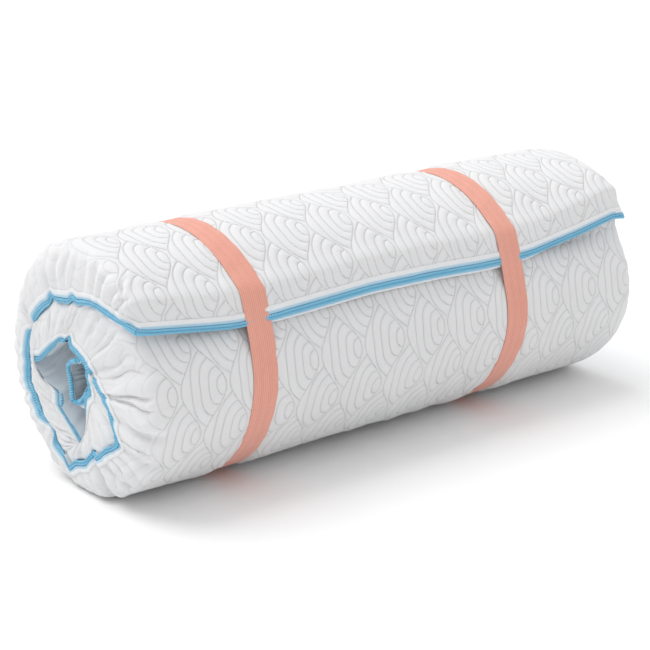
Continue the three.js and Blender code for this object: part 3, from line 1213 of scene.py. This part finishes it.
def make_inner_end(knit, materials):
    """The mattress's inner end, in the core: a border, and the zip along its lower edge."""
    q = np.linspace(-EDGE, EDGE, 321)
    turn = np.full_like(q, END_TURN)
    top = face_points(turn, q)
    x = np.clip(top[0], -(own_end(-1, turn) - 4), own_end(1, turn) - 4)
    in_back, in_up = inner_face(turn, x)
    foot = np.stack([x, in_back, in_up])
    lean = np.radians(FLAP_ANGLE - END_TURN)
    forward = np.array([0, np.cos(lean), np.sin(lean)])[:, None]
    open_part = smooth((EDGE - np.abs(q)) / BAND)
    rows = []
    depths = np.linspace(0, 0.84, 13)
    for depth in depths:
        puckers = 0.9 * np.sin(q / 9 + depth * 5) + 0.6 * np.sin(q / 4.3 - depth * 3)
        bulge = (6 + puckers) * np.sin(math.pi * (depth / depths[-1]) ** 0.8) * open_part
        rows.append(mix(top, foot, depth) + forward * bulge)
    place = np.stack(rows, axis=2)
    attributes = {
        "pattern_x": np.repeat(q, len(depths)),
        "pattern_s": np.tile(depths * 40, len(q)),
        "stitching": np.full(len(q) * len(depths), 0.3),
    }
    faces = grid_faces(len(q), len(depths))
    border = make_piece("inner_end_border_knit", to_rows(place), faces, attributes, knit)
    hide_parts("inner_end_border")
    open_columns = np.flatnonzero(np.abs(q) < BODY + 8)
    held = np.clip(np.arange(len(q)), open_columns[0], open_columns[-1])
    off = (foot - top)[:, held]
    off /= np.linalg.norm(off, axis=0)
    normal = np.repeat(forward, len(q), axis=1)
    off -= normal * (off * normal).sum(0)
    off /= np.linalg.norm(off, axis=0)
    hidden = np.zeros(len(q))
    part = slice(5, -5)
    line = (rows[-1][:, part], normal[:, part], off[:, part], hidden[part])
    return border, zip_strips("inner_end", *line, materials)


# --- The whole object -------------------------------------


MATTRESS_LENGTH = 2.0  # metres
BORDER_WIDTH = 0.047  # metres of border and zip beyond the top panel on each side


def build_object():
    knit = knit_cover()
    zip_materials = (tape_knit(), coil_nylon())
    bottom = plain_knit("bottom_knit", srgb(226, 232, 237), srgb(190, 202, 212))
    cover = make_cover(knit)
    zips = edge_zips(zip_materials)
    border, inner_zip = make_inner_end(knit, zip_materials)
    panel = make_bottom_panel(bottom)
    layers = (
        ("quilt_wadding", 0.06, 0.12, 40, "wadding", srgb(240, 240, 238), srgb(215, 215, 212)),
        ("memory_foam_layer", 0.14, 0.42, 46, "memory_foam", srgb(240, 236, 214), srgb(214, 206, 176)),
        ("support_foam_layer", 0.44, 0.9, 46, "support_foam", srgb(228, 232, 236), srgb(196, 202, 208)),
    )
    for node, near, far, inset, slot_name, light, dark in layers:
        layer = make_layer(node + "_soft", near, far, inset, foam(slot_name, light, dark))
        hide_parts(node)
    webbing = coral_webbing()
    for name in strap_boxes:
        make_strap(name, webbing)
    metal = brushed_metal()
    for name in ("zip_slider", "zip_pull_tab"):
        bpy.data.objects[name].material_slots[0].material = metal
    width, length = 2 * HALF_LENGTH * MM, MATTRESS_LENGTH
    seamed = 2 * BORDER_WIDTH
    width + seamed
    length + seamed


# --- Floor, light and camera ------------------------------

# The camera's place, target and lens come from a fit made outside this script.
CAMERA_FROM_AXIS = (-1623.1, -2013.2, 838.0)
TARGET_FROM_AXIS = (-26.4, 0.0, -21.3)
LENS = 102.65


def from_axis(place):
    return Vector((place[0], place[1], place[2] + AXIS_UP)) * MM


def add_camera():
    data = bpy.data.cameras.new("camera")
    data.lens = LENS
    data.sensor_width = 36
    data.clip_end = 50
    camera = bpy.data.objects.new("camera", data)
    camera.location = from_axis(CAMERA_FROM_AXIS)
    aim = from_axis(TARGET_FROM_AXIS) - camera.location
    camera.rotation_euler = aim.to_track_quat("-Z", "Y").to_euler()
    bpy.context.scene.collection.objects.link(camera)
    bpy.context.scene.camera = camera


SKY_EDGE = 0.33
SKY_TOP = 1.08
SUN = 1.55


def add_studio():
    world = bpy.data.worlds.new("studio")
    bpy.context.scene.world = world
    world.use_nodes = True
    tree = world.node_tree
    background = tree.nodes["Background"]
    background.inputs["Color"].default_value = (1.0, 1.0, 1.0, 1)
    direction = tree.nodes.new("ShaderNodeTexCoord").outputs["Generated"]
    split = tree.nodes.new("ShaderNodeSeparateXYZ")
    tree.links.new(direction, split.inputs["Vector"])
    height = Wire(tree, split.outputs["Z"]).math("MAXIMUM", 0.0)
    horizon = (1 - height / 0.1).math("MAXIMUM", 0.0, clamp=True)
    glow = height * (SKY_TOP - SKY_EDGE) + SKY_EDGE + horizon * (1 - SKY_EDGE)
    tree.links.new(glow.socket, background.inputs["Strength"])
    data = bpy.data.lights.new("soft_sun", "SUN")
    data.energy = SUN
    data.angle = math.radians(50)
    sun = bpy.data.objects.new("soft_sun", data)
    sun.rotation_euler = Vector((0.25, -0.5, -1.0)).to_track_quat("-Z", "Y").to_euler()
    bpy.context.scene.collection.objects.link(sun)
    look = Fabric("floor", 0.9)
    mottle = look.noise(3.0, 2.0)
    look.colour(look.blend(mottle, srgb(250, 250, 250), srgb(246, 246, 246)))
    mesh = bpy.data.meshes.new("floor")
    far = 14.0
    corners = [(-far, -far, 0), (far, -far, 0), (far, far, 0), (-far, far, 0)]
    mesh.from_pydata(corners, [], [(0, 1, 2, 3)])
    mesh.materials.append(look.material)
    floor = bpy.data.objects.new("floor", mesh)
    bpy.context.scene.collection.objects.link(floor)
    bpy.context.scene.view_settings.view_transform = "Standard"


add_camera()
add_studio()
build_object()
bpy.context.view_layer.update()
